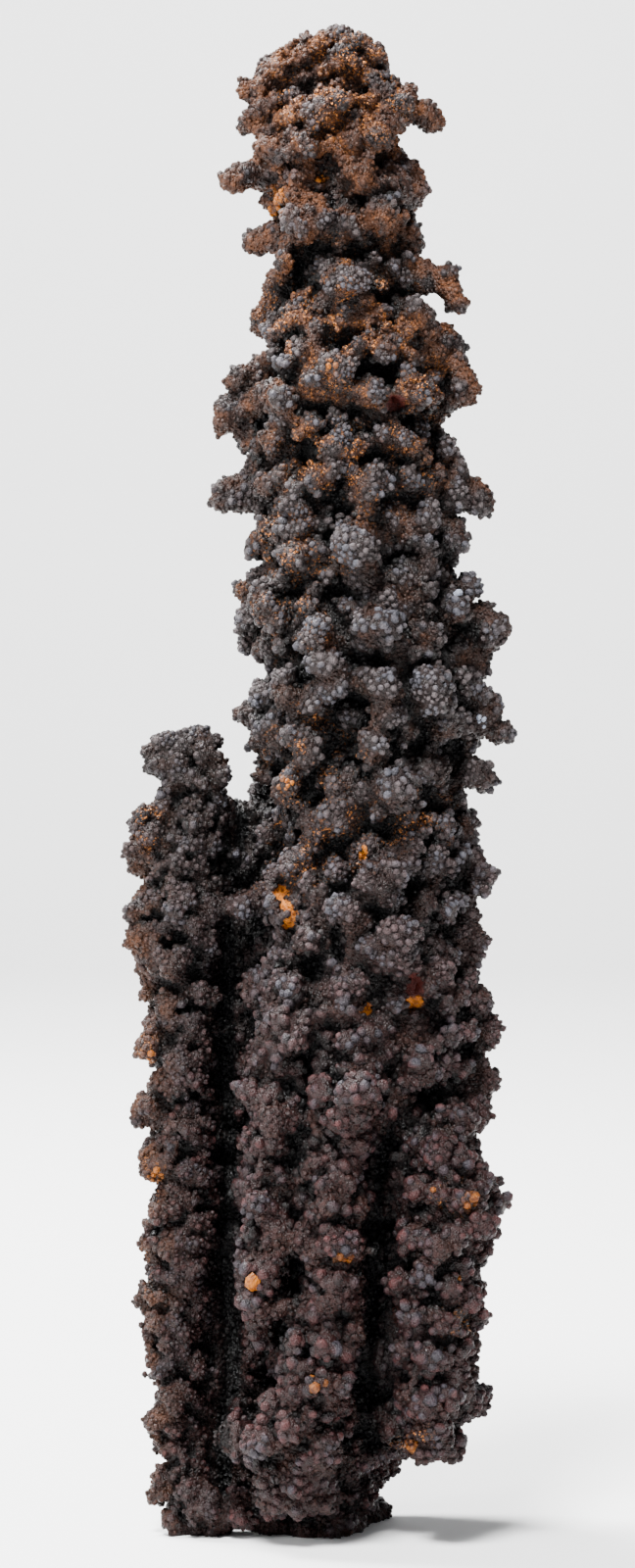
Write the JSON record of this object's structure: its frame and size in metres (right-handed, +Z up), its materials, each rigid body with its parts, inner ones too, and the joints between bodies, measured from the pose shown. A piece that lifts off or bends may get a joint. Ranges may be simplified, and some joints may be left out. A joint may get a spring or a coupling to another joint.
{
  "type": "chalcophanite mineral specimen",
  "caption": "Upright cluster of fused, knobbly black-brown stalactites, standing on a flat cut foot: a tall one, a short one at its left, and rounded ridges at the lower front.",
  "frame": {"origin": "on the flat cut foot, under the middle of the specimen's box", "axes": "+Z up along the stalactites, -Y towards the viewer of the picture, +X to the picture's right"},
  "size_m": [0.04, 0.0302, 0.15],
  "materials": {
    "black_oxide": "rough, semi-matte, with a weak metallic glint and rusty patches"
  },
  "bodies": {
    "root": {"chalcophanite_specimen": "black_oxide"}
  },
  "joints": []
}
